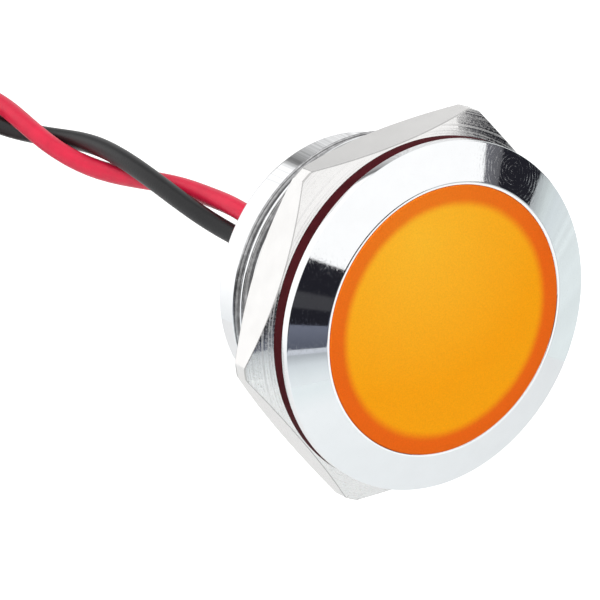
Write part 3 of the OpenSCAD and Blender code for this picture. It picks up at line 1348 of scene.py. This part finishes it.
@dataclass(frozen=True)
class Softbox:
    """A broad lamp, its distance and size in metres and its power in watts."""

    azimuth: float
    elevation: float
    distance: float
    size: float
    power: float

    def hang(self) -> None:
        """Hangs the lamp so that it faces the light."""
        put_down()
        away = towards(self.azimuth, self.elevation)
        bpy.ops.object.light_add(type="AREA", location=away * self.distance)
        lamp = bpy.context.object
        lamp.rotation_euler = away.to_track_quat("Z", "Y").to_euler()
        lamp.data.shape = "DISK"
        lamp.data.size = self.size
        lamp.data.energy = self.power
        lamp.visible_glossy = False


@dataclass
class Studio:
    """Pale floor, soft light and a long lens."""

    azimuth: float = -35.1
    elevation: float = 19.7
    distance: float = 549.1
    aside: float = 8.95
    below: float = 0.93
    lens: float = 480
    floor: float = -80
    white: Colour = (1.0, 1.0, 1.0)
    pale: Colour = (0.85, 0.885, 0.89)
    daylight: float = 0.6
    floor_size: float = 6.0
    floor_glow: float = 0.5
    floor_sheen: float = 0.04
    floor_behind: Colour = (0.86, 0.86, 0.86)
    floor_middle: Colour = (0.80, 0.83, 0.84)
    floor_front: Colour = (0.71, 0.765, 0.775)
    floor_far: tuple[float, float] = (-0.05, 0.10)
    floor_near: tuple[float, float] = (-0.105, -0.13)

    def camera(self) -> None:
        """Places the camera."""
        back = towards(self.azimuth, self.elevation)
        right = Vector((-back.y, back.x, 0)).normalized()
        up = back.cross(right)
        place = (back * self.distance - right * self.aside + up * self.below) * MM
        put_down()
        bpy.ops.object.camera_add(location=place, rotation=back.to_track_quat("Z", "Y").to_euler())
        camera = bpy.context.object
        camera.data.lens = self.lens
        camera.data.clip_start, camera.data.clip_end = 0.01, 20
        bpy.context.scene.camera = camera
        bpy.context.scene.view_settings.view_transform = "Standard"

    def surroundings(self) -> None:
        """Makes the world: white behind the light, pale in the metal, and plain daylight on the rest."""
        world = bpy.data.worlds.new("studio")
        bpy.context.scene.world = world
        world.use_nodes = True
        tree = world.node_tree
        tree.nodes.clear()
        path = tree.nodes.new("ShaderNodeLightPath")
        out = tree.nodes.new("ShaderNodeOutputWorld")
        lit = tree.nodes.new("ShaderNodeBackground")
        lit.inputs["Color"].default_value = (*self.white, 1)
        lit.inputs["Strength"].default_value = self.daylight
        shown = lit
        for colour, ways in ((self.pale, ("Is Glossy Ray",)),
                             (self.white, ("Is Camera Ray", "Is Transmission Ray"))):
            for way in ways:
                seen = tree.nodes.new("ShaderNodeBackground")
                seen.inputs["Color"].default_value = (*colour, 1)
                choose = tree.nodes.new("ShaderNodeMixShader")
                tree.links.new(path.outputs[way], choose.inputs[0])
                tree.links.new(shown.outputs[0], choose.inputs[1])
                tree.links.new(seen.outputs[0], choose.inputs[2])
                shown = choose
        tree.links.new(shown.outputs[0], out.inputs["Surface"])

    def ground(self) -> None:
        """Lays the pale floor."""
        put_down()
        bpy.ops.mesh.primitive_plane_add(size=self.floor_size, location=(0, 0, self.floor * MM))
        ground = bpy.context.object
        ground.name = "studio_floor"
        recipe = Recipe("studio_floor")
        path = recipe.node("LightPath")
        direct = recipe.math("MAXIMUM", path.outputs["Is Camera Ray"], path.outputs["Is Transmission Ray"])
        glow = recipe.math("ADD", recipe.times(direct, self.floor_glow),
                           recipe.times(path.outputs["Is Glossy Ray"], self.floor_sheen))
        along = recipe.parts(recipe.place())[1]
        near = recipe.ramp(recipe.between(along, *self.floor_near, 0, 1), (
            (0.0, self.floor_middle), (1.0, self.floor_front)))
        tint = recipe.mix(recipe.between(along, *self.floor_far, 0, 1), near, self.floor_behind)
        recipe.surface({"Base Color": tint, "Roughness": 1.0, "Specular IOR Level": 0.0,
                        "Emission Color": (*self.white, 1), "Emission Strength": glow})
        dress(ground, recipe.material)

    def cards(self) -> tuple[Card, ...]:
        """Returns the cards, each with its left, right, bottom, top and colours."""
        dark, dim = (0.016, 0.016, 0.022), (0.055, 0.055, 0.062)
        shelf, shade = (0.165, 0.18, 0.235), (0.095, 0.105, 0.14)
        bright, glare = (1.12, 1.12, 1.12), (1.2, 1.2, 1.2)
        return (
            Card("front_sheet", -110, 40.3, 3.2, 35, plain(bright), lean=0.84),
            Card("front_top", -75, 125, 35, 85, plain(bright)),
            Card("front_gap", -75, 30, -12.8, 3.2, (
                (0.0, dark), (0.25, dark), (0.29, dim), (0.50, dim), (0.54, dark), (1.0, dark)),
                upright=True),
            Card("front_shelf", -75, 30, -19.3, -12.8, ((0.0, shade), (1.0, shelf)), upright=True),
            Card("front_ledge", -75, 30, -20.7, -19.3, (
                (0.0, (0.60, 0.63, 0.69)), (1.0, (0.66, 0.69, 0.75))), upright=True),
            Card("front_apron", -75, 30, -29.4, -20.7, (
                (0.0, (0.87, 0.915, 0.935)), (0.3, (0.81, 0.865, 0.885)), (0.65, (0.71, 0.76, 0.79)),
                (0.89, (0.51, 0.545, 0.575)), (1.0, (0.44, 0.47, 0.50))), upright=True),
            Card("front_fill", 16, 54, -28, -11, plain(bright), distance=0.157),
            Card("side_veil", 37.6, 44.96, 0, 35, ((0.0, (0.17, 0.17, 0.19)), (1.0, (0.12, 0.12, 0.13))),
                 lean=0.84, distance=0.158),
            Card("side_gap", 44.96, 62.5, 0, 35, plain(dark), lean=0.84, distance=0.158),
            Card("side_wing", 64.6, 82, 2.5, 16, plain(dark), lean=0.84),
            Card("side_flap", 70.5, 94, -4, 8, plain(dark), lean=0.3),
            Card("side_hood", 50, 92, 16, 28, plain(dark), distance=0.158),
            Card("side_sheet", 62.5, 110, -29.4, 3.2, (
                (0.0, (0.84, 0.85, 0.87)), (0.014, (0.58, 0.59, 0.61)), (0.057, (0.467, 0.50, 0.51)),
                (0.105, (0.66, 0.72, 0.72)), (0.152, (0.71, 0.77, 0.79)), (0.25, (0.82, 0.885, 0.89)),
                (1.0, (0.82, 0.885, 0.89))), streaks=0.10),
            Card("back_dusk", 125, 199, -8, 60, greys(
                (0.0, 0.92), (0.25, 0.90), (0.38, 0.82), (0.50, 0.60), (0.60, 0.40), (0.665, 0.20),
                (0.70, 0.30), (0.73, 0.75), (0.77, 1.2)), streaks=0.2),
            Card("back_sheet", 199, 285, -8, 75, plain(glare)),
            Card("back_apron", 183, 285, -27, -8, ((0.0, (0.93, 0.95, 0.96)), (1.0, glare)), upright=True),
        )

    def build(self) -> None:
        """Sets up the whole studio."""
        self.camera()
        self.surroundings()
        self.ground()
        for card in self.cards():
            card.hang()
        for softbox in (Softbox(azimuth=-60, elevation=45, distance=0.5, size=0.4, power=1.6),
                        Softbox(azimuth=30, elevation=60, distance=0.7, size=0.5, power=1.0)):
            softbox.hang()


def main() -> None:
    """Builds the light and its studio."""
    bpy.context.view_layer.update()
    studio = Studio()
    studio.build()
    finishes = Finishes.mix()
    Leads().build(finishes)
    Housing().build(finishes)
    Lens().build(finishes)
    Seal().build(finishes)
    Nut().build(finishes)
    Potting().build(finishes)
    Workings().build(finishes)


if __name__ == "__main__":
    logging.basicConfig(level=logging.INFO, format="%(message)s")
    main()
